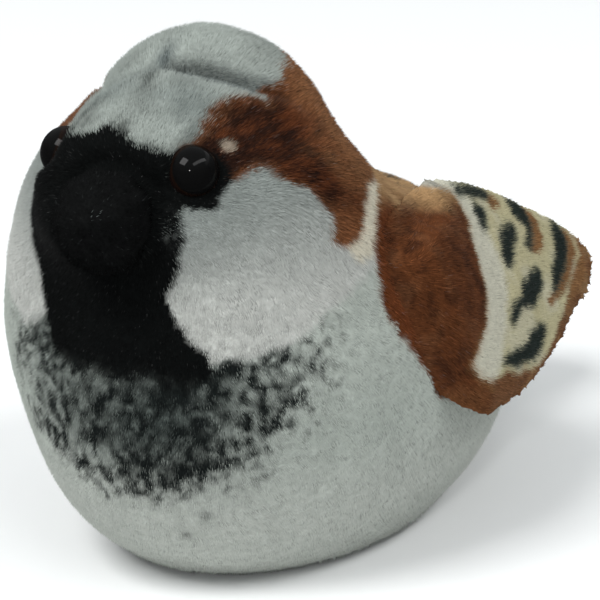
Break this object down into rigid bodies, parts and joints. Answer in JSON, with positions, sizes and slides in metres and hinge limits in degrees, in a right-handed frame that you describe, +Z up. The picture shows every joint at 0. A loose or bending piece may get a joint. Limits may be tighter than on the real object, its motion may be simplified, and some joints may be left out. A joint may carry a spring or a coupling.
{
  "type": "soft toy house sparrow",
  "caption": "Soft plush toy house sparrow, sitting: round stuffed body, free wing flaps, tail tab, short beak and glossy eyes.",
  "frame": {"origin": "on the floor, at the middle of the toy's length and width", "axes": "+Z up, the bird faces -Y, +X is the bird's left side, +Y runs back along the body to the tail"},
  "size_m": [0.0884, 0.1462, 0.092],
  "materials": {
    "grey_plush": "short pile plush, pale blue grey to off white, printed with a black mask and bib, a dark speckled breast and chestnut bands",
    "chestnut_plush": "short pile plush, chestnut shoulder, white bar and cream field with black spots",
    "black_plush": "very short black pile",
    "eye_plastic": "clear glossy dome over a black pupil and dark brown rim"
  },
  "bodies": {
    "root": {"head": "grey_plush", "trunk": "grey_plush", "tail": "chestnut_plush", "wing_left": "chestnut_plush", "wing_right": "chestnut_plush", "beak": "black_plush", "eye_left": "eye_plastic", "eye_right": "eye_plastic"}
  },
  "joints": []
}
